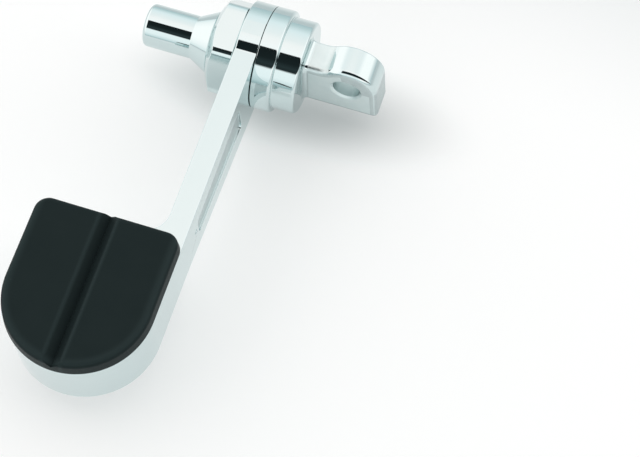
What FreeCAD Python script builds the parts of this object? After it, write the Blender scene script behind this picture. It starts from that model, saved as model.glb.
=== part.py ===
"""Offset motorcycle foot peg: a clevis mount, an arm that swings on its shaft, and a rubber pad.

Frame, in millimetres: the origin is the centre of the clevis pin bore. +X runs along the peg's
shaft towards the motorcycle, -Y runs out along the arm to the pad, and +Z is up.
"""
import FreeCAD, Part
import os
from math import cos, pi, sin, sqrt

V = FreeCAD.Vector

# Clevis tongue, measured from the pin bore
PIN_R = 5.1
PIN_CHAMFER = 0.8
TONGUE_T = 12.0
TONGUE_R = 11.2
TONGUE_BOTTOM = -15.1
TONGUE_END_LEAN = 0.8
NECK_Z = 7.6
NECK_FILLET = 7.0
TONGUE_EDGE_ROUND = 0.8

# Shaft line and the stepped collar at the root of the tongue
AXIS_Z = -3.2
SMALL_DISC_X = -16.4
SMALL_DISC_R = 17.1
LARGE_DISC_X = -25.0
LARGE_DISC_R = 19.05
COLLAR_X = -32.25
DISC_ROUND = 1.2
SOCKET_END_X = -19.6
RECESS_R = 15.6
RECESS_DEPTH = 1.2

# Arm: hub on the shaft, deep narrow beam, D-shaped base
HUB_IN_X = -32.45
HUB_OUT_X = -40.6
HUB_R = 19.05
BEAM_TOP_Z = 13.7
BEAM_ROOT_Y = -12.6
BASE_BOTTOM_Z = -10.2
BASE_W = 51.9
BASE_BACK_Y = -84.1
BASE_ARC_Y = -114.65
BASE_CORNER_R = 5.5
BASE_FLARE_R = 8.0
BASE_WALL = 3.6
BASE_TOP_T = 4.7
RIB_T = 3.0
RIB_BOTTOM_Z = -4.0
RIB_Y = -112.0
RIB_LENGTH = 30.0

# Shallow pocket in each side of the beam: its four corners as (y, z), and how far its ends bow out
POCKET_DEPTH = 0.8
POCKET_HUB_LOW = (-27.6, -7.4)
POCKET_HUB_HIGH = (-29.0, 6.6)
POCKET_END_HIGH = (-72.0, 5.4)
POCKET_END_LOW = (-71.5, -4.4)
POCKET_BOW = 1.2
DIMPLE_Y = -75.2
DIMPLE_Z = 1.6
DIMPLE_LENGTH = 2.2
DIMPLE_HEIGHT = 3.6
DIMPLE_DEPTH = 0.4

# Shaft: journal for the hub, thread for the nut, cone and plain outboard end
JOURNAL_R = 12.3
JOURNAL_OUT_X = -39.4
THREAD_R = 11.906
CONE_X = -51.9
END_R = 8.0
END_X = -59.3
TIP_X = -77.7
TIP_ROUND = 1.4
FIT = 0.03

# Washers and nut
SEAT_GAP = 0.05
FRICTION_R_OUT = 15.3
FRICTION_R_IN = 12.7
LOCK_R_OUT = 15.0
LOCK_R_IN = 12.1
LOCK_T = 1.1
LOCK_SEAT_R = 15.3
LOCK_SEAT_DEPTH = 0.9
LOCK_TEETH = 12
LOCK_SLOT_W = 1.4
LOCK_SLOT_DEPTH = 1.6
NUT_ACROSS_FLATS = 33.3
NUT_T = 10.1
NUT_TURN = 24.1

# Lock pin that keeps the shaft from turning in the collar
LOCK_PIN_R = 2.0
LOCK_PIN_X = -22.4
LOCK_PIN_DEPTH = 10.0

# Rubber pad with its moulded-in plate, clinch studs, washers and nuts
PAD_T = 6.0
PAD_ROUND = 2.0
GROOVE_W = 6.4
GROOVE_DEPTH = 3.2
PLATE_T = 1.6
PLATE_INSET = 4.0
STUD_R = 3.0
STUD_HEAD_R = 4.6
STUD_HEAD_T = 0.6
STUD_LENGTH = 12.5
STUD_PLACES = ((-14.0, -98.5), (14.0, -98.5), (0.0, -128.0))
PAD_WASHER_R = 6.2
PAD_WASHER_T = 1.6
PAD_NUT_ACROSS_FLATS = 10.0
PAD_NUT_T = 5.0

# Every hexagon nut: size of its faces before the chamfer, and the chamfer's slope
NUT_FACE_SHARE = 0.95
NUT_CHAMFER_SLOPE = 0.577

BASE_MID_X = HUB_IN_X - BASE_W / 2
BASE_R = BASE_W / 2
BASE_OUT_X = HUB_IN_X - BASE_W
PAD_BOTTOM_Z = BEAM_TOP_Z
PAD_TOP_Z = PAD_BOTTOM_Z + PAD_T
BASE_CEILING_Z = BEAM_TOP_Z - BASE_TOP_T
AXIS_POINT = V(0, 0, AXIS_Z)


def turned(profile):
    """Solid of revolution about the shaft line from (x, radius) points."""
    points = [V(x, 0, AXIS_Z + r) for x, r in profile]
    face = Part.Face(Part.makePolygon(points + [points[0]]))
    return face.revolve(AXIS_POINT, V(1, 0, 0), 360)


def disc(x_from, x_to, radius):
    """Plain cylinder on the shaft line."""
    return Part.makeCylinder(radius, abs(x_to - x_from), V(min(x_from, x_to), 0, AXIS_Z), V(1, 0, 0))


def ring(x_from, x_to, outer, inner):
    """Cylinder on the shaft line with a concentric hole through it."""
    return disc(x_from, x_to, outer).cut(disc(x_from - 1, x_to + 1, inner))


def arc(start, middle, end):
    return Part.Arc(start, middle, end).toShape()


def line(start, end):
    return Part.LineSegment(start, end).toShape()


def prism(edges, direction):
    """Straight extrusion of a closed outline."""
    return Part.Face(Part.Wire(Part.__sortEdges__(edges))).extrude(direction)


def round_edges(shape, radius, chosen):
    """Fillet the edges for which chosen(edge) is true."""
    edges = [edge for edge in shape.Edges if chosen(edge)]
    return shape.makeFillet(radius, edges)


def is_rim(edge, x, radius):
    """True for a full circle of that radius, centred on the shaft line at x."""
    if not isinstance(edge.Curve, Part.Circle):
        return False
    on_place = abs(edge.Curve.Center.x - x) < 0.01 and abs(edge.Curve.Center.z - AXIS_Z) < 0.01
    return on_place and abs(edge.Curve.Radius - radius) < 0.01


def hex_prism(across_flats, height, base, axis, turn, both_ends=True):
    """Hexagonal prism, its corners cut back to a 30 degree cone at the far end, or at both."""
    corner = across_flats / sqrt(3)
    points = [V(corner * cos(k * pi / 3), corner * sin(k * pi / 3), 0) for k in range(7)]
    solid = Part.Face(Part.makePolygon(points)).extrude(V(0, 0, height))
    flat = across_flats / 2 * NUT_FACE_SHARE
    drop = (corner + 1 - flat) * NUT_CHAMFER_SLOPE
    near_end = [(0, 0), (flat, 0), (corner + 1, drop)] if both_ends else [(0, 0), (corner + 1, 0)]
    outline = near_end + [(corner + 1, height - drop), (flat, height), (0, height)]
    envelope_points = [V(r, 0, z) for r, z in outline]
    envelope = Part.Face(Part.makePolygon(envelope_points + [envelope_points[0]]))
    solid = solid.common(envelope.revolve(V(0, 0, 0), V(0, 0, 1), 360))
    solid.rotate(V(0, 0, 0), V(0, 0, 1), turn)
    solid.Placement = FreeCAD.Placement(base, FreeCAD.Rotation(V(0, 0, 1), axis)).multiply(solid.Placement)
    return solid


def tongue():
    """Flat tongue: round over the pin, flat underneath, waisted beside the collar."""
    neck_x = -sqrt(TONGUE_R ** 2 - NECK_Z ** 2)
    root_x = SMALL_DISC_X - 1.0
    bottom_end = V(TONGUE_R + TONGUE_END_LEAN, 0, TONGUE_BOTTOM)
    edges = [
        line(V(root_x, 0, TONGUE_BOTTOM), bottom_end),
        line(bottom_end, V(TONGUE_R, 0, 0)),
        arc(V(TONGUE_R, 0, 0), V(0, 0, TONGUE_R), V(neck_x, 0, NECK_Z)),
        line(V(neck_x, 0, NECK_Z), V(root_x, 0, NECK_Z)),
        line(V(root_x, 0, NECK_Z), V(root_x, 0, TONGUE_BOTTOM)),
    ]
    solid = prism(edges, V(0, TONGUE_T, 0))
    solid.translate(V(0, -TONGUE_T / 2, 0))
    return round_edges(solid, NECK_FILLET, lambda e: is_cross_edge(e, neck_x, NECK_Z))


def is_cross_edge(edge, x, z):
    """True for a straight edge across the tongue at that x and z."""
    ends = [vertex.Point for vertex in edge.Vertexes]
    return len(ends) == 2 and all(abs(p.x - x) < 0.01 and abs(p.z - z) < 0.01 for p in ends)


def clevis_mount():
    solid = round_edges(tongue(), TONGUE_EDGE_ROUND, is_tongue_side_edge)
    large = round_edges(disc(COLLAR_X, LARGE_DISC_X, LARGE_DISC_R), DISC_ROUND,
                        lambda e: is_rim(e, LARGE_DISC_X, LARGE_DISC_R))
    small = round_edges(disc(LARGE_DISC_X - 1, SMALL_DISC_X, SMALL_DISC_R), DISC_ROUND,
                        lambda e: is_rim(e, SMALL_DISC_X, SMALL_DISC_R))
    solid = solid.fuse([large, small])
    bore = Part.makeCylinder(PIN_R, TONGUE_T + 2, V(0, -TONGUE_T / 2 - 1, 0), V(0, 1, 0))
    mouth_r = PIN_R + PIN_CHAMFER
    for side in (-1, 1):
        start = V(0, side * TONGUE_T / 2, 0)
        cone = Part.makeCone(mouth_r, PIN_R, PIN_CHAMFER, start, V(0, -side, 0))
        bore = bore.fuse(cone)
    socket = disc(COLLAR_X - 1, SOCKET_END_X, THREAD_R + FIT)
    recess = disc(COLLAR_X - 1, COLLAR_X + RECESS_DEPTH, RECESS_R)
    return solid.cut([bore, socket, recess, lock_pin_hole()]).removeSplitter()


def is_tongue_side_edge(edge):
    """True for the outline edges of the tongue's two side faces, clear of the collar."""
    middle = edge.valueAt((edge.FirstParameter + edge.LastParameter) / 2)
    on_side = all(abs(abs(v.Point.y) - TONGUE_T / 2) < 0.01 for v in edge.Vertexes)
    same_side = abs(abs(middle.y) - TONGUE_T / 2) < 0.01
    return on_side and same_side and middle.x > SMALL_DISC_X - 0.9


def lock_pin_hole():
    """Radial hole from below the small disc into the shaft."""
    bottom = AXIS_Z - SMALL_DISC_R - 1
    return Part.makeCylinder(LOCK_PIN_R, LOCK_PIN_DEPTH + 1, V(LOCK_PIN_X, 0, bottom), V(0, 0, 1))


def stud_lock_pin():
    """Slotted spring pin, just under flush with the small disc."""
    bottom = AXIS_Z - SMALL_DISC_R + 0.3
    radius = LOCK_PIN_R - FIT
    length = LOCK_PIN_DEPTH - 0.8
    pin = Part.makeCylinder(radius, length, V(LOCK_PIN_X, 0, bottom), V(0, 0, 1))
    bore = Part.makeCylinder(radius * 0.55, length, V(LOCK_PIN_X, 0, bottom), V(0, 0, 1))
    slot = Part.makeBox(radius + 1, 0.5, length, V(LOCK_PIN_X, -0.25, bottom))
    return pin.cut([bore, slot])


def shaft_stud():
    """Turned shaft: threaded tail in the collar, journal, thread, cone and plain end."""
    profile = [
        (TIP_X, 0), (TIP_X, END_R), (END_X, END_R), (CONE_X, THREAD_R),
        (JOURNAL_OUT_X, THREAD_R), (JOURNAL_OUT_X, JOURNAL_R),
        (COLLAR_X + RECESS_DEPTH, JOURNAL_R), (COLLAR_X + RECESS_DEPTH, THREAD_R),
        (SOCKET_END_X - 0.3, THREAD_R), (SOCKET_END_X - 0.3, 0),
    ]
    solid = round_edges(turned(profile), TIP_ROUND, lambda e: is_rim(e, TIP_X, END_R))
    return solid.cut(lock_pin_hole())


def friction_washer():
    return ring(HUB_IN_X + SEAT_GAP, COLLAR_X + RECESS_DEPTH, FRICTION_R_OUT, FRICTION_R_IN)


def lock_washer():
    """Internal-tooth lock washer, let into the hub under the nut."""
    inner_x = HUB_OUT_X + LOCK_SEAT_DEPTH - SEAT_GAP
    washer = ring(inner_x - LOCK_T, inner_x, LOCK_R_OUT, LOCK_R_IN)
    slots = []
    for k in range(LOCK_TEETH):
        place = V(inner_x - LOCK_T - 1, -LOCK_SLOT_W / 2, AXIS_Z + LOCK_R_IN - 1)
        slot = Part.makeBox(LOCK_T + 2, LOCK_SLOT_W, LOCK_SLOT_DEPTH + 1, place)
        slot.rotate(AXIS_POINT, V(1, 0, 0), 360.0 * k / LOCK_TEETH)
        slots.append(slot)
    return washer.cut(slots)


def jam_nut():
    inner_x = HUB_OUT_X + LOCK_SEAT_DEPTH - LOCK_T - 2 * SEAT_GAP
    nut = hex_prism(NUT_ACROSS_FLATS, NUT_T, V(inner_x, 0, AXIS_Z), V(-1, 0, 0), NUT_TURN, both_ends=False)
    return nut.cut(disc(inner_x - NUT_T - 1, inner_x + 1, THREAD_R + FIT))


def d_outline(inset, z, square_back):
    """D-shaped plan outline of the base or pad, moved inwards by inset."""
    x_in = HUB_IN_X - inset
    x_out = BASE_OUT_X + inset
    back = BASE_BACK_Y - inset
    radius = BASE_R - inset
    corner = max(BASE_CORNER_R - inset, 1.0)
    cut = corner * (1 - 1 / sqrt(2))
    edges = [
        arc(V(x_in, BASE_ARC_Y, z), V(BASE_MID_X, BASE_ARC_Y - radius, z), V(x_out, BASE_ARC_Y, z)),
        line(V(x_out, BASE_ARC_Y, z), V(x_out, back - corner, z)),
        arc(V(x_out, back - corner, z), V(x_out + cut, back - cut, z), V(x_out + corner, back, z)),
    ]
    if square_back:
        edges += [
            line(V(x_out + corner, back, z), V(x_in, back, z)),
            line(V(x_in, back, z), V(x_in, BASE_ARC_Y, z)),
        ]
        return edges
    edges += [
        line(V(x_out + corner, back, z), V(x_in - corner, back, z)),
        arc(V(x_in - corner, back, z), V(x_in - cut, back - cut, z), V(x_in, back - corner, z)),
        line(V(x_in, back - corner, z), V(x_in, BASE_ARC_Y, z)),
    ]
    return edges


def beam():
    """Deep narrow plate from the hub to the base, deeper at the hub."""
    top_y = -sqrt(HUB_R ** 2 - (BEAM_TOP_Z - AXIS_Z) ** 2)
    root_z = AXIS_Z - sqrt(HUB_R ** 2 - BEAM_ROOT_Y ** 2)
    x = HUB_IN_X
    corners = [
        V(x, 0, AXIS_Z), V(x, top_y, BEAM_TOP_Z), V(x, BASE_BACK_Y - 2, BEAM_TOP_Z),
        V(x, BASE_BACK_Y - 2, BASE_BOTTOM_Z), V(x, BEAM_ROOT_Y, root_z),
    ]
    face = Part.Face(Part.makePolygon(corners + [corners[0]]))
    return face.extrude(V(HUB_OUT_X - HUB_IN_X, 0, 0))


def flare():
    """Concave web that spreads the beam into the back edge of the base."""
    start = V(HUB_OUT_X, BASE_BACK_Y + BASE_FLARE_R, BASE_BOTTOM_Z)
    end = V(HUB_OUT_X - BASE_FLARE_R, BASE_BACK_Y, BASE_BOTTOM_Z)
    centre = V(HUB_OUT_X - BASE_FLARE_R, BASE_BACK_Y + BASE_FLARE_R, BASE_BOTTOM_Z)
    middle = centre.add(V(BASE_FLARE_R / sqrt(2), -BASE_FLARE_R / sqrt(2), 0))
    deep = BASE_BACK_Y - 3
    edges = [
        arc(start, middle, end),
        line(end, V(end.x, deep, BASE_BOTTOM_Z)),
        line(V(end.x, deep, BASE_BOTTOM_Z), V(HUB_IN_X, deep, BASE_BOTTOM_Z)),
        line(V(HUB_IN_X, deep, BASE_BOTTOM_Z), V(HUB_IN_X, start.y, BASE_BOTTOM_Z)),
        line(V(HUB_IN_X, start.y, BASE_BOTTOM_Z), start),
    ]
    return prism(edges, V(0, 0, BEAM_TOP_Z - BASE_BOTTOM_Z))


def side_pocket(face_x, into):
    """Long tapered lightening pocket in one side of the beam, with bowed ends."""
    x = face_x - into
    corners = [V(x, y, z) for y, z in (POCKET_HUB_LOW, POCKET_HUB_HIGH, POCKET_END_HIGH, POCKET_END_LOW)]
    hub_low, hub_high, end_high, end_low = corners
    hub_bow = (hub_low + hub_high) * 0.5 + V(0, POCKET_BOW, 0)
    end_bow = (end_low + end_high) * 0.5 - V(0, POCKET_BOW, 0)
    edges = [
        arc(hub_low, hub_bow, hub_high),
        line(hub_high, end_high),
        arc(end_high, end_bow, end_low),
        line(end_low, hub_low),
    ]
    return prism(edges, V(into * (POCKET_DEPTH + 1.0), 0, 0))


def dimple():
    """Small three-cornered dimple in the inboard side, past the pocket's outer end."""
    x = HUB_IN_X - DIMPLE_DEPTH
    near = DIMPLE_Y + DIMPLE_LENGTH / 2
    points = [V(x, near, DIMPLE_Z + DIMPLE_HEIGHT / 2), V(x, near, DIMPLE_Z - DIMPLE_HEIGHT / 2),
              V(x, near - DIMPLE_LENGTH, DIMPLE_Z)]
    return Part.Face(Part.makePolygon(points + [points[0]])).extrude(V(DIMPLE_DEPTH + 1, 0, 0))


def base_hollow():
    """Cored underside of the base, leaving walls, a ceiling and two crossed ribs."""
    hollow = prism(d_outline(BASE_WALL, BASE_BOTTOM_Z - 1, False), V(0, 0, BASE_CEILING_Z - BASE_BOTTOM_Z + 1))
    height = BASE_CEILING_Z - RIB_BOTTOM_Z
    cross = Part.makeBox(BASE_W, RIB_T, height, V(BASE_OUT_X, RIB_Y, RIB_BOTTOM_Z))
    spine = Part.makeBox(RIB_T, RIB_LENGTH, height, V(BASE_MID_X - RIB_T / 2, RIB_Y, RIB_BOTTOM_Z))
    return hollow.cut([cross, spine])


def peg_arm():
    base = prism(d_outline(0.0, BASE_BOTTOM_Z, True), V(0, 0, BEAM_TOP_Z - BASE_BOTTOM_Z))
    solid = disc(HUB_OUT_X, HUB_IN_X, HUB_R).fuse([beam(), flare(), base]).removeSplitter()
    washer_seat = disc(HUB_OUT_X - 1, HUB_OUT_X + LOCK_SEAT_DEPTH, LOCK_SEAT_R)
    cuts = [disc(HUB_OUT_X - 1, HUB_IN_X + 1, JOURNAL_R + FIT), washer_seat, base_hollow()]
    cuts += [side_pocket(HUB_IN_X, -1.0), side_pocket(HUB_OUT_X, 1.0), dimple()]
    for dx, y in STUD_PLACES:
        place = V(BASE_MID_X + dx, y, BASE_CEILING_Z - 1)
        cuts.append(Part.makeCylinder(STUD_R + 0.4, BASE_TOP_T + 2, place))
    return solid.cut(cuts)


def pad_plate():
    """Steel plate moulded into the underside of the pad."""
    plate = prism(d_outline(PLATE_INSET, PAD_BOTTOM_Z, False), V(0, 0, PLATE_T))
    holes = []
    for dx, y in STUD_PLACES:
        holes.append(Part.makeCylinder(STUD_R, PLATE_T, V(BASE_MID_X + dx, y, PAD_BOTTOM_Z)))
    return plate.cut(holes)


def rubber_pad():
    """Rubber tread: rounded rim, one V groove along the pad, plate recess underneath."""
    solid = prism(d_outline(0.0, PAD_BOTTOM_Z, False), V(0, 0, PAD_T))
    solid = round_edges(solid, PAD_ROUND, lambda e: min(v.Point.z for v in e.Vertexes) > PAD_TOP_Z - 0.01)
    half = GROOVE_W / 2
    y_from = BASE_ARC_Y - BASE_R - 2
    y_length = BASE_BACK_Y + 2 - y_from
    points = [V(BASE_MID_X - half, y_from, PAD_TOP_Z), V(BASE_MID_X + half, y_from, PAD_TOP_Z),
              V(BASE_MID_X, y_from, PAD_TOP_Z - GROOVE_DEPTH)]
    groove = Part.Face(Part.makePolygon(points + [points[0]])).extrude(V(0, y_length, 0))
    cuts = [groove, prism(d_outline(PLATE_INSET, PAD_BOTTOM_Z, False), V(0, 0, PLATE_T))]
    for dx, y in STUD_PLACES:
        place = V(BASE_MID_X + dx, y, PAD_BOTTOM_Z + PLATE_T)
        cuts.append(Part.makeCylinder(STUD_HEAD_R, STUD_HEAD_T, place))
    return solid.cut(cuts)


def pad_stud(place):
    """Clinch stud: head above the plate, shank down through plate and base."""
    head_z = PAD_BOTTOM_Z + PLATE_T
    head = Part.makeCylinder(STUD_HEAD_R, STUD_HEAD_T, V(place.x, place.y, head_z))
    shank = Part.makeCylinder(STUD_R, STUD_LENGTH, V(place.x, place.y, head_z - STUD_LENGTH))
    return head.fuse(shank).removeSplitter()


def pad_washer(place):
    outer = Part.makeCylinder(PAD_WASHER_R, PAD_WASHER_T, place - V(0, 0, PAD_WASHER_T))
    return outer.cut(Part.makeCylinder(STUD_R + 0.3, PAD_WASHER_T, place - V(0, 0, PAD_WASHER_T)))


def pad_nut(place):
    top = place - V(0, 0, PAD_WASHER_T)
    nut = hex_prism(PAD_NUT_ACROSS_FLATS, PAD_NUT_T, top, V(0, 0, -1), 0)
    return nut.cut(Part.makeCylinder(STUD_R + FIT, PAD_NUT_T + 2, top - V(0, 0, PAD_NUT_T + 1)))


def build():
    """Every piece of the peg by name."""
    pieces = {
        "clevis_mount": clevis_mount(),
        "shaft_stud": shaft_stud(),
        "stud_lock_pin": stud_lock_pin(),
        "friction_washer": friction_washer(),
        "peg_arm": peg_arm(),
        "lock_washer": lock_washer(),
        "jam_nut": jam_nut(),
        "pad_plate": pad_plate(),
        "rubber_pad": rubber_pad(),
    }
    for number, (dx, y) in enumerate(STUD_PLACES, start=1):
        place = V(BASE_MID_X + dx, y, BASE_CEILING_Z)
        pieces["pad_stud_%d" % number] = pad_stud(place)
        pieces["pad_washer_%d" % number] = pad_washer(place)
        pieces["pad_nut_%d" % number] = pad_nut(place)
    return pieces


os.makedirs("parts", exist_ok=True)
for name, shape in build().items():
    solids = shape.Solids
    print(name, "solids", len(solids), "valid", shape.isValid(), "volume mm3", round(shape.Volume, 1))
    shape.exportStep("parts/%s.step" % name)
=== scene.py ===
"""Looks of the chrome motorcycle foot peg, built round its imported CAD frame.

Shapes are made in millimetres, in the row frame, and scaled to metres when they are finished.
+X runs along the shaft to the motorcycle, -Y out along the arm to the pad, and +Z is up.
"""

from math import acos, atan2, cos, degrees, pi, radians, sin, sqrt, tan

import bmesh
import bpy
from mathutils import Matrix, Vector


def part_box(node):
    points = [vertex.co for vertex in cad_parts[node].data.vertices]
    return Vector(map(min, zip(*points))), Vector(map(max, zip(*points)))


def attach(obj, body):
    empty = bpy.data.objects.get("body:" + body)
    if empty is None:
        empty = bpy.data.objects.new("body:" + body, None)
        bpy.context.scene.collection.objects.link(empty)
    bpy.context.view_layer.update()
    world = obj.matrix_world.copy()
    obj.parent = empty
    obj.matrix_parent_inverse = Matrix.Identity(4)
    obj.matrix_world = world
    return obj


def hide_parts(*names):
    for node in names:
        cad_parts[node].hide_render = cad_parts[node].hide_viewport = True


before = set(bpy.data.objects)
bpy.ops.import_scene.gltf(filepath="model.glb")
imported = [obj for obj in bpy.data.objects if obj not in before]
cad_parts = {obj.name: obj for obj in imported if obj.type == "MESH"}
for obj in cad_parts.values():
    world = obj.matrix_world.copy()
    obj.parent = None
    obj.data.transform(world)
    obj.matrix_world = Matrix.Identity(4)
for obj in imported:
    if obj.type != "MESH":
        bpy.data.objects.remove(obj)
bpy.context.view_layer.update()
scene = bpy.context.scene

MM = 0.001
ROUND_STEPS = 128
HOLE_STEPS = 40

# Angles in degrees: an edge is shaded sharp from the first, and eased only from the second
SHARP_FROM = 32.0
EASED_FROM = 18.0

# Millimetres: how far a cutting tool reaches past the metal, and how near counts as on a face
SPARE = 2.0
ON = 0.05
NEAR = 0.1


def node_box(node):
    """Lowest and highest corner of a CAD node, in millimetres."""
    low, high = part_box(node)
    return low / MM, high / MM


# Sizes in millimetres that the frame gives
ARM_LOW, ARM_HIGH = node_box("peg_arm")
MOUNT_LOW, MOUNT_HIGH = node_box("clevis_mount")
STUD_LOW, STUD_HIGH = node_box("shaft_stud")
NUT_LOW, NUT_HIGH = node_box("jam_nut")
PAD_LOW, PAD_HIGH = node_box("rubber_pad")
PLATE_TOP_Z = node_box("pad_plate")[1].z
AXIS_Z = (STUD_LOW.z + STUD_HIGH.z) / 2

# Clevis tongue and collar
TONGUE_HALF = 6.0
TONGUE_R = 11.2
TONGUE_STEPS = 40
TONGUE_BOTTOM = -15.1
NECK_Z = 7.6
NECK_FILLET = 7.0
NECK_STEPS = 10
PIN_R = 5.1
PIN_CHAMFER = 0.8
PIN_STEPS = 96
SMALL_DISC_X = -16.4
SMALL_DISC_R = 17.1
LARGE_DISC_X = -25.0
LARGE_DISC_R = 19.05
DISC_ROUND = 1.2
RECESS_R = 15.6
RECESS_DEPTH = 1.2
SOCKET_END_X = -19.6
LOCK_PIN_R = 2.0
LOCK_PIN_X = -22.4
LOCK_PIN_DEPTH = 8.0
TONGUE_ROOT_EASE = 2.2
TONGUE_FRONT_EASE = 2.4
TONGUE_REAR_EASE = 0.6
TONGUE_END_EASE = 0.7
BORE_EASE = 0.25

# Arm
HUB_IN_X = ARM_HIGH.x
HUB_OUT_X = -40.6
HUB_R = 19.05
HUB_STEPS = 96
BEAM_TOP_Z = PAD_LOW.z
BEAM_ROOT_Y = -12.6
BASE_BOTTOM_Z = -10.2
BASE_BACK_Y = PAD_HIGH.y
BASE_OUT_X = ARM_LOW.x
BASE_R = (HUB_IN_X - BASE_OUT_X) / 2
BASE_MID_X = (HUB_IN_X + BASE_OUT_X) / 2
BASE_ARC_Y = ARM_LOW.y + BASE_R
BASE_CORNER_R = 5.5
BASE_STEPS = 72
CORNER_STEPS = 14
FLARE_R = 8.0
FLARE_STEPS = 24
BASE_WALL = 3.6
BASE_CEILING_Z = BEAM_TOP_Z - 4.7
RIB_T = 3.0
RIB_BOTTOM_Z = -4.0
RIB_Y = -112.0
JOURNAL_R = 12.3
WASHER_SEAT_R = 15.3
WASHER_SEAT_DEPTH = 0.9
HUB_RIM_EASE = 0.6
HOLLOW_EASE = 0.5
CAST_EASE = 0.45
CRISP_EASE = 0.2
POCKET_DEPTH = 0.8
POCKET_CORNERS = [(-27.4, -7.4), (-72.4, -4.4), (-72.8, 5.4), (-28.2, 6.6)]
POCKET_RADII = [1.5, 2.0, 2.0, 1.5]
DIMPLE_CORNERS = [(-74.1, 3.4), (-74.1, -0.2), (-76.3, 1.6)]
DIMPLE_Z = 1.6
DIMPLE_DEPTH = 0.4
STUD_HOLE_R = 3.4
STUD_PLACES = [
    ((lo.x + hi.x) / 2, (lo.y + hi.y) / 2)
    for lo, hi in (node_box("pad_stud_%d" % n) for n in (1, 2, 3))
]

# Rubber pad, and the plate and stud heads let into it
PAD_RIM_R = 2.0
PAD_DRAFT = 0.35
PAD_RIM_STEPS = 12
GROOVE_HALF = 3.2
GROOVE_DEPTH = 3.2
GROOVE_LIP_R = 1.5
GROOVE_LIFT = 0.006
PLATE_INSET = 4.0
STUD_HEAD_R = 4.6
STUD_HEAD_T = 0.6

# Nut. NUT_CORNER is in degrees round the shaft. The chamfer leaves NUT_FACE_SHARE of the width flat
NUT_FLATS = 33.3
NUT_CORNER = 65.9
NUT_CORNER_ROUND = 4.0
NUT_FACE_SHARE = 0.85
NUT_CHAMFER_ANGLE = 30.0
NUT_MOUTH_DEPTH = 0.7
NUT_MOUTH_WIDTH = 1.2
NUT_FLAT_LENGTH = 3.0
NUT_STRIPS = 14
NUT_RIM_EASE = 0.45
NUT_EASE = 0.22
NUT_EASED_FROM = 12.0

# Shaft
THREAD_R = 11.906
THREAD_PITCH = 25.4 / 16
THREAD_DEPTH = 0.86
THREAD_LEAD = 0.8
THREAD_RUN_IN = 0.5
THREAD_RUN_OUT = 0.4
THREAD_ROWS = 20
FLANK_SLOPE = 2.4
FLANK_OFFSET = 0.1
JOURNAL_OUT_X = -39.4
CONE_X = -51.9
END_R = 8.0
END_X = -59.3
TIP_ROUND = 1.6
FIT = 0.03


# ---------------------------------------------------------------- shapes

def arc(u, v, radius, start, end, steps):
    """Points along a circle's arc between two angles in degrees."""
    turns = [radians(start + (end - start) * k / steps) for k in range(steps + 1)]
    return [(u + radius * cos(t), v + radius * sin(t)) for t in turns]


def rounded(points, radii, steps=8):
    """Closed outline with its corners rounded, each by its own radius."""
    outline = []
    for k, point in enumerate(points):
        radius = radii[k] if isinstance(radii, (list, tuple)) else radii
        corner = Vector(point)
        if radius <= 0:
            outline.append(tuple(corner))
            continue
        back = (Vector(points[k - 1]) - corner).normalized()
        ahead = (Vector(points[(k + 1) % len(points)]) - corner).normalized()
        half = acos(max(-1.0, min(1.0, back.dot(ahead)))) / 2
        centre = corner + (back + ahead).normalized() * (radius / sin(half))
        first = corner + back * (radius / tan(half)) - centre
        last = corner + ahead * (radius / tan(half)) - centre
        begin = atan2(first.y, first.x)
        sweep = (atan2(last.y, last.x) - begin + pi) % (2 * pi) - pi
        outline += arc(centre.x, centre.y, radius, degrees(begin), degrees(begin + sweep), steps)
    return outline


def made(name, bm):
    """Object from a bmesh, its faces turned outwards."""
    bmesh.ops.remove_doubles(bm, verts=bm.verts, dist=1e-4)
    bmesh.ops.recalc_face_normals(bm, faces=bm.faces)
    mesh = bpy.data.meshes.new(name)
    bm.to_mesh(mesh)
    bm.free()
    piece = bpy.data.objects.new(name, mesh)
    scene.collection.objects.link(piece)
    return piece


def prism(name, outline, along, low, high):
    """Straight solid from a closed outline, which lies in the two other axes in order."""
    order = {"x": (2, 0, 1), "y": (0, 2, 1), "z": (0, 1, 2)}[along]
    bm = bmesh.new()
    ends = []
    for level in (low, high):
        points = [(u, v, level) for u, v in outline]
        ends.append([bm.verts.new([p[k] for k in order]) for p in points])
        bm.faces.new(ends[-1])
    for k in range(len(outline)):
        bm.faces.new([ends[0][k - 1], ends[0][k], ends[1][k], ends[1][k - 1]])
    return made(name, bm)


def lathe(name, profile, steps=ROUND_STEPS, turn=None, centre=(0, 0, AXIS_Z)):
    """Solid of revolution about X through centre from a closed (x, radius) outline.

    A radius may be a function of the angle. turn rotates the result about centre.
    """
    bm = bmesh.new()
    rings = []
    for x, radius in profile:
        if not callable(radius) and radius < 1e-6:
            rings.append([bm.verts.new((x, 0, 0))] * steps)
            continue
        ring = []
        for k in range(steps):
            t = 2 * pi * k / steps
            r = radius(t) if callable(radius) else radius
            ring.append(bm.verts.new((x, r * cos(t), r * sin(t))))
        rings.append(ring)
    for k, ring in enumerate(rings):
        before = rings[k - 1]
        for m in range(steps):
            corners = [before[m - 1], before[m], ring[m], ring[m - 1]]
            corners = [c for i, c in enumerate(corners) if c not in corners[:i]]
            if len(corners) > 2:
                bm.faces.new(corners)
    if turn is not None:
        bm.transform(turn.to_4x4())
    bm.transform(Matrix.Translation(centre))
    return made(name, bm)


def rectangle(u_low, u_high, v_low, v_high):
    """Closed outline of a rectangle."""
    return [(u_low, v_low), (u_high, v_low), (u_high, v_high), (u_low, v_high)]


def drill(name, radius, half, centre):
    """Upright cylinder for a round hole, reaching half its length either way from centre."""
    profile = [(-half, 0), (-half, radius), (half, radius), (half, 0)]
    upright = Matrix.Rotation(pi / 2, 3, "Y")
    return lathe(name, profile, steps=HOLE_STEPS, turn=upright, centre=centre)


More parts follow.
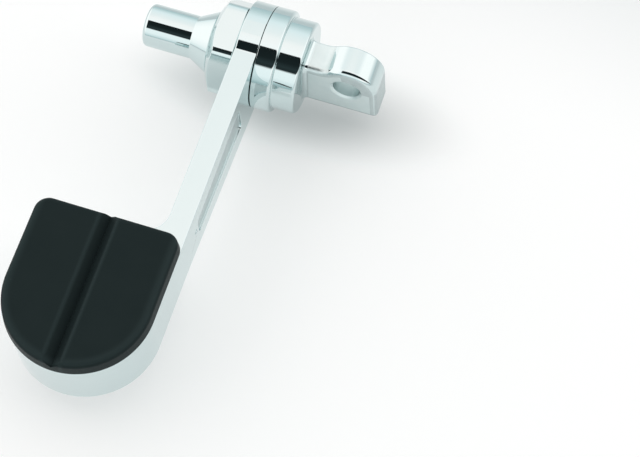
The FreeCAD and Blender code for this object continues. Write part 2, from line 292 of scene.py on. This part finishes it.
def settle(piece):
    """Applies the piece's modifiers."""
    graph = bpy.context.evaluated_depsgraph_get()
    mesh = bpy.data.meshes.new_from_object(piece.evaluated_get(graph))
    piece.modifiers.clear()
    piece.data = mesh


def combined(piece, operation, *tools):
    """The piece after an exact boolean with each tool, which is used up."""
    for tool in tools:
        change = piece.modifiers.new("combine", "BOOLEAN")
        change.object = tool
        change.operation = operation
        change.solver = "EXACT"
        settle(piece)
        bpy.data.objects.remove(tool)
    bm = bmesh.new()
    bm.from_mesh(piece.data)
    bmesh.ops.remove_doubles(bm, verts=bm.verts, dist=2e-3)
    bmesh.ops.dissolve_limit(bm, angle_limit=radians(0.3), verts=bm.verts, edges=bm.edges)
    bm.to_mesh(piece.data)
    bm.free()
    return piece


def ease(piece, widest, width_at, steps=3):
    """Rounds the edges to which width_at(edge, angle in degrees) gives a width in millimetres."""
    bm = bmesh.new()
    bm.from_mesh(piece.data)
    weights = bm.edges.layers.float.new("bevel_weight_edge")
    for edge in bm.edges:
        if len(edge.link_faces) == 2:
            edge[weights] = width_at(edge, degrees(edge.calc_face_angle(0.0))) / widest
    bm.to_mesh(piece.data)
    bm.free()
    change = piece.modifiers.new("ease", "BEVEL")
    change.limit_method = "WEIGHT"
    change.width = widest
    change.segments = steps
    change.use_clamp_overlap = False
    change.miter_outer = "MITER_ARC"
    settle(piece)


def show(piece, body, slot, materials, *replaced):
    """Finishes a piece: metres, smooth shading with true flats, materials, place in the frame."""
    piece.data.transform(Matrix.Scale(MM, 4))
    piece.data.shade_smooth()
    bm = bmesh.new()
    bm.from_mesh(piece.data)
    for edge in bm.edges:
        if len(edge.link_faces) == 2 and degrees(edge.calc_face_angle(0.0)) > SHARP_FROM:
            edge.smooth = False
    bm.to_mesh(piece.data)
    bm.free()
    normals = piece.modifiers.new("normals", "WEIGHTED_NORMAL")
    normals.keep_sharp = True
    for material in materials:
        piece.data.materials.append(material)
    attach(piece, body)
    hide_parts(*replaced)


def middle(edge):
    """The point halfway along an edge."""
    return (edge.verts[0].co + edge.verts[1].co) / 2


# ---------------------------------------------------------------- materials

class Nodes:
    """Short spelling for a material's or world's node tree."""

    def __init__(self, owner):
        owner.use_nodes = True
        self.tree = owner.node_tree
        self.tree.nodes.clear()

    def add(self, kind, settings=(), **inputs):
        node = self.tree.nodes.new(kind)
        for name, value in dict(settings).items():
            setattr(node, name, value)
        for name, value in inputs.items():
            self.set(node, name.replace("_", " "), value)
        return node

    def set(self, node, name, value):
        socket = node.inputs[int(name)] if name.isdigit() else node.inputs[name]
        if isinstance(value, bpy.types.NodeSocket):
            self.tree.links.new(value, socket)
        else:
            socket.default_value = value

    def math(self, operation, a, b=0.0):
        node = self.tree.nodes.new("ShaderNodeMath")
        node.operation = operation
        self.set(node, "0", a)
        self.set(node, "1", b)
        return node.outputs[0]

    def mapped(self, value, low, high, to_low, to_high, smooth=False):
        node = self.tree.nodes.new("ShaderNodeMapRange")
        node.interpolation_type = "SMOOTHSTEP" if smooth else "LINEAR"
        for k, item in enumerate((value, low, high, to_low, to_high)):
            self.set(node, str(k), item)
        return node.outputs[0]

    def band(self, value, rise_from, rise_to, fall_from, fall_to, peak=1.0):
        """Soft band: rises to peak between the first two values, falls away between the last two."""
        rise = self.mapped(value, rise_from, rise_to, 0.0, peak, smooth=True)
        fall = self.mapped(value, fall_from, fall_to, 1.0, 0.0, smooth=True)
        return self.math("MULTIPLY", rise, fall)

    def spread(self, noise, low, high):
        """Noise, which lies mostly between 0.3 and 0.7, spread from low to high."""
        return self.mapped(noise, 0.3, 0.7, low, high)

    def vector(self, operation, a, b):
        node = self.add("ShaderNodeVectorMath", {"operation": operation})
        self.set(node, "0", a)
        self.set(node, "1", b)
        return node

    def noise(self, where, scale, detail=2.0, roughness=0.5):
        inputs = {"Vector": where, "Scale": scale, "Detail": detail, "Roughness": roughness}
        return self.add("ShaderNodeTexNoise", **inputs).outputs["Fac"]

    def mix(self, share, a, b):
        node = self.add("ShaderNodeMix", {"data_type": "RGBA"})
        self.set(node, "0", share)
        self.set(node, "6", a)
        self.set(node, "7", b)
        return node.outputs[2]

    def ramp(self, value, stops):
        node = self.add("ShaderNodeValToRGB", Fac=value)
        elements = node.color_ramp.elements
        while len(elements) < len(stops):
            elements.new(0.5)
        for element, (place, colour) in zip(elements, stops):
            element.position = place
            element.color = (*colour, 1.0)
        return node.outputs[0]

    def bump(self, height, strength, distance):
        node = self.add("ShaderNodeBump", Height=height, Strength=strength, Distance=distance)
        return node.outputs[0]


def surface(name):
    """A new material with its node helper, shader and object coordinates."""
    material = bpy.data.materials.new(name)
    nodes = Nodes(material)
    shader = nodes.add("ShaderNodeBsdfPrincipled")
    output = nodes.add("ShaderNodeOutputMaterial")
    nodes.set(output, "Surface", shader.outputs[0])
    where = nodes.add("ShaderNodeTexCoord").outputs["Object"]
    return material, nodes, shader, where


def chrome(name, grain, wave, rough_low, rough_high):
    """Bright chrome plate: a faint colour drift, polishing haze and low waves in the surface."""
    material, nodes, shader, where = surface(name)
    haze = nodes.noise(where, 160.0, 4.0)
    waves = nodes.math("MULTIPLY", nodes.noise(where, 70.0, 1.0), wave)
    fine = nodes.math("MULTIPLY", nodes.noise(where, 2600.0, 2.0), grain)
    nodes.set(shader, "Metallic", 1.0)
    drift = nodes.mix(haze, (0.60, 0.705, 0.71, 1), (0.625, 0.725, 0.73, 1))
    nodes.set(shader, "Base Color", drift)
    nodes.set(shader, "Roughness", nodes.spread(haze, rough_low, rough_high))
    nodes.set(shader, "Normal", nodes.bump(nodes.math("ADD", waves, fine), 1.0, 0.001))
    return material


def satin_chrome(name, dark, light):
    """Chrome plate over an unpolished casting: grainy, soft reflections."""
    material, nodes, shader, where = surface(name)
    grain = nodes.noise(where, 2200.0, 3.0, 0.6)
    cloud = nodes.noise(where, 220.0, 3.0)
    nodes.set(shader, "Metallic", 1.0)
    nodes.set(shader, "Base Color", nodes.mix(cloud, (*dark, 1), (*light, 1)))
    nodes.set(shader, "Roughness", nodes.spread(grain, 0.30, 0.44))
    nodes.set(shader, "Normal", nodes.bump(grain, 0.5, 0.00005))
    return material


def plain_steel(name, dark, light, rough):
    """Steel washers and small fasteners, with faint stains and machining grain."""
    material, nodes, shader, where = surface(name)
    cloud = nodes.noise(where, 300.0, 4.0, 0.6)
    grain = nodes.noise(where, 3500.0, 2.0)
    nodes.set(shader, "Metallic", 1.0)
    nodes.set(shader, "Base Color", nodes.mix(cloud, (*dark, 1), (*light, 1)))
    nodes.set(shader, "Roughness", nodes.spread(cloud, rough, rough + 0.12))
    nodes.set(shader, "Normal", nodes.bump(grain, 0.3, 0.00004))
    return material


def dust(nodes, where):
    """Share of rare pale specks: only the few cells above the chance limit hold one."""
    cells = nodes.add("ShaderNodeTexVoronoi", Vector=where, Scale=210.0)
    speck = nodes.mapped(cells.outputs["Distance"], 0.035, 0.07, 0.5, 0.0)
    chance = nodes.add("ShaderNodeSeparateColor", Color=cells.outputs["Color"]).outputs[0]
    return nodes.math("MULTIPLY", speck, nodes.math("GREATER_THAN", chance, 0.93))


def wear(nodes, where):
    """Share of painted highlight, by distance in metres from the pad's outline and from its groove.
    """
    x, y, _ = nodes.add("ShaderNodeSeparateXYZ", Vector=where).outputs
    aside = nodes.math("SUBTRACT", x, BASE_MID_X * MM)
    ahead = nodes.math("MINIMUM", nodes.math("SUBTRACT", y, BASE_ARC_Y * MM), 0.0)
    squares = [nodes.math("MULTIPLY", side, side) for side in (aside, ahead)]
    inset = nodes.math("SUBTRACT", BASE_R * MM, nodes.math("SQRT", nodes.math("ADD", *squares)))
    rim = nodes.band(inset, 0.0005, 0.0014, 0.0014, 0.0042)
    lips = nodes.band(nodes.math("ABSOLUTE", aside), 0.0022, 0.0030, 0.0033, 0.0045, peak=0.8)
    return nodes.math("MAXIMUM", rim, lips)


def rubber(name):
    """Moulded black rubber: satin pebbled skin, painted highlight on the rim and groove lips, specks
    of dust.
    """
    material, nodes, shader, where = surface(name)
    cloud = nodes.noise(where, 90.0, 3.0)
    pebble = nodes.noise(where, 2400.0, 2.0, 0.6)
    skin = nodes.mix(cloud, (0.0105, 0.0178, 0.0184, 1), (0.0138, 0.0218, 0.0224, 1))
    # Painted highlight: the rim and the groove lips are mixed towards a lighter rubber colour
    skin = nodes.mix(wear(nodes, where), skin, (0.021, 0.033, 0.034, 1))
    nodes.set(shader, "Base Color", nodes.mix(dust(nodes, where), skin, (0.10, 0.12, 0.12, 1)))
    nodes.set(shader, "Roughness", nodes.spread(pebble, 0.38, 0.50))
    nodes.set(shader, "IOR", 1.3)
    nodes.set(shader, "Specular IOR Level", 0.14)
    nodes.set(shader, "Specular Tint", (0.72, 1.0, 1.0, 1.0))
    nodes.set(shader, "Normal", nodes.bump(pebble, 0.35, 0.00004))
    return material


POLISHED = chrome("polished_chrome", 0.00012, 0.012, 0.03, 0.06)
TURNED = chrome("turned_chrome", 0.00008, 0.004, 0.02, 0.045)
NUT_CHROME = chrome("nut_chrome", 0.0003, 0.012, 0.05, 0.09)
SATIN = satin_chrome("satin_chrome", (0.45, 0.535, 0.54), (0.55, 0.625, 0.63))
BORED = satin_chrome("bored_chrome", (0.60, 0.70, 0.70), (0.70, 0.79, 0.79))
SPRING = plain_steel("spring_steel", (0.30, 0.32, 0.33), (0.42, 0.44, 0.45), 0.32)
ZINC = plain_steel("zinc_steel", (0.60, 0.62, 0.63), (0.74, 0.75, 0.74), 0.26)
RUBBER = rubber("black_rubber")


# ---------------------------------------------------------------- pieces

def clevis_mount():
    """Stepped collar turned about the shaft line, with the flat tongue growing out of it."""
    collar_x = MOUNT_LOW.x
    socket_r = THREAD_R + FIT
    points = [
        (SMALL_DISC_X, 0), (SMALL_DISC_X, SMALL_DISC_R), (LARGE_DISC_X, SMALL_DISC_R),
        (LARGE_DISC_X, LARGE_DISC_R), (collar_x, LARGE_DISC_R), (collar_x, RECESS_R),
        (collar_x + RECESS_DEPTH, RECESS_R), (collar_x + RECESS_DEPTH, socket_r),
        (SOCKET_END_X, socket_r), (SOCKET_END_X, 0),
    ]
    radii = [0, DISC_ROUND, 0.25, DISC_ROUND, 0.2, 0.2, 0, 0, 0, 0]
    mount = lathe("clevis_forging", rounded(points, radii))

    root_x = SMALL_DISC_X - 1.0
    neck_u = -sqrt((TONGUE_R + NECK_FILLET) ** 2 - (NECK_Z + NECK_FILLET) ** 2)
    neck_v = NECK_Z + NECK_FILLET
    neck_angle = degrees(atan2(neck_v, neck_u))
    outline = [(root_x, TONGUE_BOTTOM), (MOUNT_HIGH.x, TONGUE_BOTTOM)]
    outline += arc(0, 0, TONGUE_R, 0, neck_angle, TONGUE_STEPS)
    outline += arc(neck_u, neck_v, NECK_FILLET, neck_angle - 180, -90, NECK_STEPS)[1:]
    outline.append((root_x, NECK_Z))
    combined(mount, "UNION", prism("tongue", outline, "y", -TONGUE_HALF, TONGUE_HALF))

    reach = TONGUE_HALF + 1.0
    mouth = PIN_R + PIN_CHAMFER
    bore = [
        (-reach, 0), (-reach, mouth + 1.0), (-TONGUE_HALF + PIN_CHAMFER, PIN_R),
        (TONGUE_HALF - PIN_CHAMFER, PIN_R), (reach, mouth + 1.0), (reach, 0),
    ]
    quarter = Matrix.Rotation(pi / 2, 3, "Z")
    pin = lathe("pin_bore", bore, steps=PIN_STEPS, turn=quarter, centre=(0, 0, 0))
    hole = drill("lock_hole", LOCK_PIN_R, LOCK_PIN_DEPTH, (LOCK_PIN_X, 0, AXIS_Z - SMALL_DISC_R))
    combined(mount, "DIFFERENCE", pin, hole)

    def width(edge, angle):
        at = middle(edge)
        if angle < EASED_FROM:
            return 0.0
        in_width = abs(at.y) < TONGUE_HALF + NEAR
        in_height = TONGUE_BOTTOM - NEAR < at.z < NECK_Z + NEAR
        if abs(at.x - SMALL_DISC_X) < ON and in_width and in_height:
            return TONGUE_ROOT_EASE
        from_pin = Vector((at.x, at.z)).length
        on_side = abs(abs(at.y) - TONGUE_HALF) < ON
        if at.x > SMALL_DISC_X and on_side and from_pin > mouth + 0.5:
            return TONGUE_FRONT_EASE if at.y < 0 else TONGUE_REAR_EASE
        if at.x > SMALL_DISC_X and from_pin > mouth + 1.5:
            return TONGUE_END_EASE
        if on_side and from_pin < mouth + NEAR:
            return BORE_EASE
        return 0.0

    ease(mount, TONGUE_FRONT_EASE, width, steps=6)
    materials = [POLISHED, SATIN, BORED]
    show(mount, "mount", "chrome_cast", materials, "clevis_mount")
    for face in mount.data.polygons:
        at, out = face.center / MM, face.normal
        if at.x < SMALL_DISC_X + 1.4:
            continue
        in_bore = Vector((at.x, at.z)).length < mouth + 0.3
        on_neck = at.x < neck_u + 4.0 and out.z > 0.5
        at_end = out.x > 0.75 and at.z < 1.0
        if in_bore or on_neck:
            face.material_index = materials.index(BORED)
        elif abs(out.y) > 0.80 or at_end or out.z < -0.6:
            face.material_index = materials.index(SATIN)


def shaft_stud():
    """Turned shaft with a true screw thread for the nut, a cone and the plain outboard end."""
    start = STUD_HIGH.x
    neck_x = MOUNT_LOW.x + RECESS_DEPTH
    root = THREAD_R - THREAD_DEPTH
    points = [
        (start, 0), (start, THREAD_R - THREAD_LEAD), (start - THREAD_LEAD, THREAD_R),
        (neck_x, THREAD_R), (neck_x, JOURNAL_R), (JOURNAL_OUT_X, JOURNAL_R), (JOURNAL_OUT_X, root),
    ]
    profile = rounded(points, [0, 0, 0, 0, 0.2, 0.4, 0])

    def thread(x):
        """The thread's radius at x, as a function of the angle round the shaft."""
        run_out = (x - CONE_X) / THREAD_RUN_OUT
        fade = max(0.0, min(1.0, (JOURNAL_OUT_X - x) / THREAD_RUN_IN, run_out))

        def radius(t):
            phase = (x / THREAD_PITCH + t / (2 * pi)) % 1.0
            flank = max(0.0, min(1.0, (0.5 - abs(phase - 0.5)) * FLANK_SLOPE - FLANK_OFFSET))
            return root + THREAD_DEPTH * max(flank * fade, 1 - run_out)
        return radius

    rows = int((JOURNAL_OUT_X - CONE_X) / THREAD_PITCH * THREAD_ROWS)
    step = (JOURNAL_OUT_X - CONE_X) / rows
    places = [JOURNAL_OUT_X - step * k for k in range(1, rows)]
    profile += [(x, thread(x)) for x in places]
    tip = STUD_LOW.x
    outboard = [(CONE_X, THREAD_R), (END_X, END_R), (tip, END_R), (tip, 0)]
    profile += rounded(outboard, [0, 0.5, TIP_ROUND, 0])
    show(lathe("threaded_shaft", profile), "mount", "chrome_turned", [TURNED], "shaft_stud")


def jam_nut():
    """Hexagon nut: softly rounded corners, outboard end turned to a chamfer, chamfered bore."""
    corners = arc(0, 0, NUT_FLATS / sqrt(3), NUT_CORNER, NUT_CORNER + 300, 5)
    hexagon = [Vector(point) for point in rounded(corners, NUT_CORNER_ROUND)]
    outline = []
    for k, point in enumerate(hexagon):
        before = hexagon[k - 1]
        strips = NUT_STRIPS if (point - before).length > NUT_FLAT_LENGTH else 1
        outline += [before.lerp(point, (m + 1) / strips) for m in range(strips)]
    low, high = NUT_LOW.x, NUT_HIGH.x
    face_r = NUT_FLATS / 2 * NUT_FACE_SHARE
    bore_r = THREAD_R + FIT
    mouth_r = bore_r + NUT_MOUTH_WIDTH
    slope = tan(radians(NUT_CHAMFER_ANGLE))
    bm = bmesh.new()
    columns = []
    for point in outline:
        far = point.length
        out = point.normalized()
        rows = [
            (low + NUT_MOUTH_DEPTH, bore_r), (low, mouth_r), (low, face_r),
            (low + (far - face_r) * slope, far), (high, far), (high, mouth_r),
            (high - NUT_MOUTH_DEPTH, bore_r),
        ]
        columns.append([bm.verts.new((x, out.x * r, out.y * r + AXIS_Z)) for x, r in rows])
    for before, column in zip([columns[-1]] + columns[:-1], columns):
        for k in range(len(column)):
            bm.faces.new([before[k - 1], before[k], column[k], column[k - 1]])
    nut = made("hex_jam_nut", bm)

    def width(edge, angle):
        along = abs((edge.verts[0].co - edge.verts[1].co).normalized().x)
        if angle < NUT_EASED_FROM or along > 0.6:
            return 0.0
        return NUT_RIM_EASE if middle(edge).x > high - NEAR else NUT_EASE

    ease(nut, NUT_RIM_EASE, width)
    show(nut, "nut", "chrome_nut", [NUT_CHROME], "jam_nut")


def d_outline(inset):
    """D-shaped plan of the base or pad, moved inwards by inset."""
    corner = max(BASE_CORNER_R - inset, 1.0)
    back = BASE_BACK_Y - inset
    x_in, x_out = HUB_IN_X - inset, BASE_OUT_X + inset
    outline = arc(BASE_MID_X, BASE_ARC_Y, BASE_R - inset, 0, -180, BASE_STEPS)
    outline += arc(x_out + corner, back - corner, corner, 180, 90, CORNER_STEPS)
    return outline + arc(x_in - corner, back - corner, corner, 90, 0, CORNER_STEPS)


def arm_plan():
    """Plan of the whole arm: hub strip, flare and D-shaped base."""
    beyond = HUB_R + SPARE
    corner = BASE_CORNER_R
    outline = [(HUB_OUT_X, beyond), (HUB_IN_X, beyond)]
    outline += arc(BASE_MID_X, BASE_ARC_Y, BASE_R, 0, -180, BASE_STEPS)
    outline += arc(BASE_OUT_X + corner, BASE_BACK_Y - corner, corner, 180, 90, CORNER_STEPS)
    return outline + arc(HUB_OUT_X - FLARE_R, BASE_BACK_Y + FLARE_R, FLARE_R, -90, 0, FLARE_STEPS)


def arm_side():
    """Side view of the whole arm: hub circle, tapering beam and base."""
    top_angle = degrees(acos(-sqrt(HUB_R ** 2 - (BEAM_TOP_Z - AXIS_Z) ** 2) / HUB_R))
    root_angle = -degrees(acos(BEAM_ROOT_Y / HUB_R))
    far = ARM_LOW.y - SPARE
    outline = arc(0, AXIS_Z, HUB_R, top_angle, root_angle, HUB_STEPS)
    return outline + [(BASE_BACK_Y - SPARE, BASE_BOTTOM_Z), (far, BASE_BOTTOM_Z), (far, BEAM_TOP_Z)]


def base_hollow():
    """The open hollow under the base, with its cross rib and spine left standing."""
    hollow = prism("hollow", d_outline(BASE_WALL), "z", BASE_BOTTOM_Z - 5, BASE_CEILING_Z)
    wide = BASE_R + SPARE
    across = rectangle(BASE_MID_X - wide, BASE_MID_X + wide, RIB_Y, RIB_Y + RIB_T)
    thin = RIB_T / 2
    along = rectangle(BASE_MID_X - thin, BASE_MID_X + thin, RIB_Y + 1, BASE_BACK_Y + SPARE)
    rib = prism("rib", across, "z", RIB_BOTTOM_Z, BASE_CEILING_Z + 1)
    spine = prism("spine", along, "z", RIB_BOTTOM_Z, BASE_CEILING_Z + 1)
    return combined(hollow, "DIFFERENCE", combined(rib, "UNION", spine))


def by_pocket(at):
    """Whether a point lies within the bounds of the beam's pockets, seen from the side."""
    return -74 < at.y < -26 and -9 < at.z < 8


def peg_arm():
    """One chromed casting: hub, deep narrow beam with a pocket each side, hollow D-shaped base."""
    arm = prism("cast_arm", arm_side(), "x", BASE_OUT_X - SPARE, HUB_IN_X + SPARE)
    plan = prism("arm_plan", arm_plan(), "z", ARM_LOW.z - SPARE, BEAM_TOP_Z + SPARE)
    combined(arm, "INTERSECT", plan)
    bore_r = JOURNAL_R + FIT
    seat_x = HUB_OUT_X + WASHER_SEAT_DEPTH
    bore = [
        (HUB_OUT_X - 1, 0), (HUB_OUT_X - 1, WASHER_SEAT_R), (seat_x, WASHER_SEAT_R),
        (seat_x, bore_r), (HUB_IN_X + 1, bore_r), (HUB_IN_X + 1, 0),
    ]
    pocket = rounded(POCKET_CORNERS, POCKET_RADII)
    dimple = rounded(DIMPLE_CORNERS, 0.3, steps=3)
    tools = [
        lathe("hub_bore", bore),
        base_hollow(),
        prism("pocket_in", pocket, "x", HUB_IN_X - POCKET_DEPTH, HUB_IN_X + SPARE),
        prism("pocket_out", pocket, "x", HUB_OUT_X - SPARE, HUB_OUT_X + POCKET_DEPTH),
        prism("dimple", dimple, "x", HUB_IN_X - DIMPLE_DEPTH, HUB_IN_X + 1),
    ]
    ceiling_mid_z = (BASE_CEILING_Z + BEAM_TOP_Z) / 2
    for x, y in STUD_PLACES:
        tools.append(drill("stud_hole", STUD_HOLE_R, 6, (x, y, ceiling_mid_z)))
    combined(arm, "DIFFERENCE", *tools)

    def sunk(at):
        """How far a point lies in from the nearer side of the beam."""
        return min(HUB_IN_X - at.x, at.x - HUB_OUT_X)

    def width(edge, angle):
        at = middle(edge)
        from_stud = min(Vector((at.x - x, at.y - y)).length for x, y in STUD_PLACES)
        if angle < EASED_FROM or from_stud < STUD_HOLE_R + 0.5:
            return 0.0
        if at.y < BASE_BACK_Y - 1 and BASE_BOTTOM_Z + NEAR < at.z < BEAM_TOP_Z - 1:
            return HOLLOW_EASE
        on_hub = abs((at.yz - Vector((0, AXIS_Z))).length - HUB_R) < NEAR
        if on_hub and at.x < HUB_OUT_X + 0.5:
            return HUB_RIM_EASE
        in_pocket = by_pocket(at) and sunk(at) < 1.0
        in_dimple = -77 < at.y < -73 and abs(at.z - DIMPLE_Z) < 2.5
        if (on_hub and at.x > HUB_IN_X - 0.5) or in_pocket or in_dimple:
            return CRISP_EASE
        return CAST_EASE

    ease(arm, HUB_RIM_EASE, width)
    materials = [POLISHED, SATIN]
    show(arm, "arm", "chrome_polished", materials, "peg_arm")
    for face in arm.data.polygons:
        at = face.center / MM
        pocket_floor = by_pocket(at) and sunk(at) > 0.3 and abs(face.normal.x) > 0.9
        face.material_index = materials.index(SATIN if pocket_floor else POLISHED)


def rubber_pad():
    """Moulded tread: drafted side, rounded rim, one groove with soft lips, recess for the plate."""
    top, bottom = PAD_HIGH.z, PAD_LOW.z
    # The side as (inset, z), from the bottom edge up over the rounded rim
    levels = [(0.12, bottom), (0.0, bottom + 0.15), (0.02, bottom + 0.5)]
    for k in range(PAD_RIM_STEPS + 1):
        t = pi / 2 * k / PAD_RIM_STEPS
        inset = PAD_DRAFT + PAD_RIM_R * (1 - cos(t))
        levels.append((inset, top - PAD_RIM_R + PAD_RIM_R * sin(t)))
    bm = bmesh.new()
    rings = []
    for inset, z in levels:
        rings.append([bm.verts.new((x, y, z)) for x, y in d_outline(inset)])
    for low, high in zip(rings, rings[1:]):
        for k in range(len(low)):
            bm.faces.new([low[k - 1], low[k], high[k], high[k - 1]])
    bm.faces.new(rings[0])
    bm.faces.new(rings[-1])
    pad = made("rubber_tread", bm)

    lip_z = top + GROOVE_LIFT
    far = GROOVE_HALF + 2.5
    points = [
        (-far, top + SPARE), (-far, lip_z), (-GROOVE_HALF, lip_z), (0, top - GROOVE_DEPTH),
        (GROOVE_HALF, lip_z), (far, lip_z), (far, top + SPARE),
    ]
    section = rounded(points, [0, 0, GROOVE_LIP_R, 0, GROOVE_LIP_R, 0, 0])
    groove = [(BASE_MID_X + x, z) for x, z in section]
    cutter = prism("groove", groove, "y", ARM_LOW.y - 3, BASE_BACK_Y + 3)
    recess = prism("plate_recess", d_outline(PLATE_INSET), "z", bottom - SPARE, PLATE_TOP_Z)
    half = 1.5
    head_z = PLATE_TOP_Z + STUD_HEAD_T - half
    heads = [drill("head_recess", STUD_HEAD_R, half, (x, y, head_z)) for x, y in STUD_PLACES]
    combined(pad, "DIFFERENCE", cutter, recess, *heads)
    show(pad, "arm", "black_rubber", [RUBBER], "rubber_pad")


def finish_cad_node(node, material):
    """Keeps a CAD node's shape and gives it its finish."""
    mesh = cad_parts[node].data
    mesh.materials.clear()
    mesh.materials.append(material)


clevis_mount()
shaft_stud()
jam_nut()
peg_arm()
rubber_pad()
for node in ("stud_lock_pin", "friction_washer", "lock_washer"):
    finish_cad_node(node, SPRING)
finish_cad_node("pad_plate", ZINC)
for number in (1, 2, 3):
    for kind in ("pad_stud_", "pad_washer_", "pad_nut_"):
        finish_cad_node(kind + str(number), ZINC)


# ---------------------------------------------------------------- camera, floor and light

AIM = Vector((0.0039, -0.0485, -0.0281))
DISTANCE = 0.6194
BACK = Vector((0.1215, -0.3795, 0.9172)).normalized()
SENSOR_WIDTH = 36.0
FOCAL_LENGTH = 95.625

camera = bpy.data.objects.new("camera", bpy.data.cameras.new("camera"))
scene.collection.objects.link(camera)
camera.data.sensor_width = SENSOR_WIDTH
camera.data.lens = FOCAL_LENGTH
camera.location = AIM + BACK * DISTANCE
camera.rotation_mode = "QUATERNION"
camera.rotation_quaternion = (-BACK).to_track_quat("-Z", "Y")
camera.data.clip_start, camera.data.clip_end = 0.01, 30.0
scene.camera = camera
scene.view_settings.view_transform = "Standard"

# Tones of the light tent's walls by height: 0 is just under the horizon and 1 is straight up
HORIZON = -0.2
REAR_WALL = [
    (0.00, (0.80, 0.90, 0.90)), (0.12, (0.56, 0.70, 0.71)), (0.17, (0.50, 0.65, 0.67)),
    (0.33, (0.60, 0.75, 0.76)), (0.47, (0.76, 0.89, 0.90)), (0.60, (0.92, 1.03, 1.04)),
    (0.88, (1.04, 1.07, 1.06)), (0.95, (1.15, 1.13, 1.11)), (1.00, (1.18, 1.15, 1.13)),
]
FRONT_WALL = [
    (0.00, (0.80, 0.90, 0.90)), (0.10, (0.74, 0.86, 0.87)), (0.18, (0.50, 0.64, 0.65)),
    (0.27, (0.76, 0.89, 0.90)), (0.45, (1.00, 1.09, 1.09)), (0.75, (1.04, 1.12, 1.12)),
    (1.00, (1.18, 1.18, 1.17)),
]
OUTBOARD_WALL = [
    (0.00, (0.85, 0.93, 0.93)), (0.17, (0.90, 1.00, 1.00)), (0.30, (1.12, 1.15, 1.14)),
    (0.45, (1.25, 1.24, 1.22)), (1.00, (1.25, 1.24, 1.22)),
]
INBOARD_WALL = [
    (0.00, (0.80, 0.90, 0.90)), (0.16, (0.50, 0.60, 0.61)), (0.24, (0.70, 0.80, 0.81)),
    (0.42, (1.22, 1.23, 1.21)), (1.00, (1.26, 1.25, 1.23)),
]

# The dark gap in the tent runs along X. Its edges are degrees about X, from the rear horizon
GAP_FROM = 96.0
GAP_TO = 140.0
GAP_TONES = [
    (0.00, (0.009, 0.014, 0.015)), (0.50, (0.012, 0.019, 0.020)),
    (0.75, (0.026, 0.040, 0.042)), (1.00, (0.014, 0.022, 0.023)),
]
WARMTH = (1.07, 1.0, 1.0)
STRENGTH = 1.13


def studio_world():
    """White light tent: bright roof, greyer low down, and the dark gap where the camera stands."""
    world = bpy.data.worlds.new("studio")
    scene.world = world
    nodes = Nodes(world)
    direction = nodes.add("ShaderNodeTexCoord").outputs["Generated"]
    x, y, z = nodes.add("ShaderNodeSeparateXYZ", Vector=direction).outputs
    height = nodes.mapped(z, HORIZON, 1.0, 0.0, 1.0)
    ahead = nodes.mapped(y, -0.25, 0.25, 1.0, 0.0, smooth=True)
    outboard = nodes.mapped(x, -0.65, -0.40, 1.0, 0.0, smooth=True)
    inboard = nodes.mapped(x, 0.35, 0.62, 0.0, 1.0, smooth=True)
    tent = nodes.mix(ahead, nodes.ramp(height, REAR_WALL), nodes.ramp(height, FRONT_WALL))
    tent = nodes.mix(outboard, tent, nodes.ramp(height, OUTBOARD_WALL))
    tent = nodes.mix(inboard, tent, nodes.ramp(height, INBOARD_WALL))

    angle = nodes.math("ARCTAN2", z, y)
    after = nodes.mapped(angle, radians(GAP_FROM), radians(GAP_FROM + 1), 0.0, 1.0)
    before = nodes.mapped(angle, radians(GAP_TO - 3), radians(GAP_TO + 1), 1.0, 0.0)
    beside = nodes.mapped(x, -0.47, -0.43, 0.0, 1.0)
    gap = nodes.math("MULTIPLY", nodes.math("MULTIPLY", after, before), beside)
    across = nodes.mapped(angle, radians(GAP_FROM), radians(GAP_TO), 0.0, 1.0)
    colour = nodes.mix(gap, tent, nodes.ramp(across, GAP_TONES))
    warmed = nodes.vector("MULTIPLY", colour, WARMTH).outputs[0]
    background = nodes.add("ShaderNodeBackground", Color=warmed, Strength=STRENGTH)
    nodes.set(nodes.add("ShaderNodeOutputWorld"), "Surface", background.outputs[0])


# Floor, in metres: a painted glow, brighter in a pool under and in front of the peg, and a shade
# painted along the shaft line, which stays put when the arm swings
FLOOR_Z = -0.0275
POOL_CENTRE = (0.0, -0.45, FLOOR_Z)
POOL_GLOW = (0.40, 0.42, 0.42, 1)
FAR_GLOW = (0.12, 0.17, 0.18, 1)
SHADE_CENTRE = (-0.007, 0.0, FLOOR_Z)
SHADE_SQUEEZE = (0.35, 1.0, 1.0)
SHADE_COLOUR = (0.38, 0.42, 0.42, 1)


def floor():
    """Plain pale floor, just below the peg at rest and with its arm swung over by 180 degrees."""
    bm = bmesh.new()
    bmesh.ops.create_grid(bm, x_segments=1, y_segments=1, size=4000.0)
    plane = made("floor", bm)
    plane.data.transform(Matrix.Scale(MM, 4))
    plane.data.transform(Matrix.Translation((0, 0, FLOOR_Z)))
    material, nodes, shader, where = surface("floor_paper")
    from_pool = nodes.vector("DISTANCE", where, POOL_CENTRE).outputs["Value"]
    edge = nodes.mapped(from_pool, 0.47, 0.62, 0.0, 1.0, smooth=True)
    squeezed = nodes.vector("MULTIPLY", where, SHADE_SQUEEZE).outputs[0]
    from_shaft = nodes.vector("DISTANCE", squeezed, SHADE_CENTRE).outputs["Value"]
    light = nodes.mapped(from_shaft, 0.006, 0.026, 0.50, 1.0, smooth=True)
    paper = nodes.mix(nodes.noise(where, 2.0, 2.0), (0.59, 0.60, 0.60, 1), (0.61, 0.62, 0.62, 1))
    nodes.set(shader, "Base Color", nodes.mix(light, SHADE_COLOUR, paper))
    nodes.set(shader, "Roughness", 0.9)
    nodes.set(shader, "Specular IOR Level", 0.0)
    # Painted glow: the floor gives off light, brighter in the pool and dimmer far away
    nodes.set(shader, "Emission Color", nodes.mix(edge, POOL_GLOW, FAR_GLOW))
    nodes.set(shader, "Emission Strength", light)
    plane.data.materials.append(material)


studio_world()
floor()
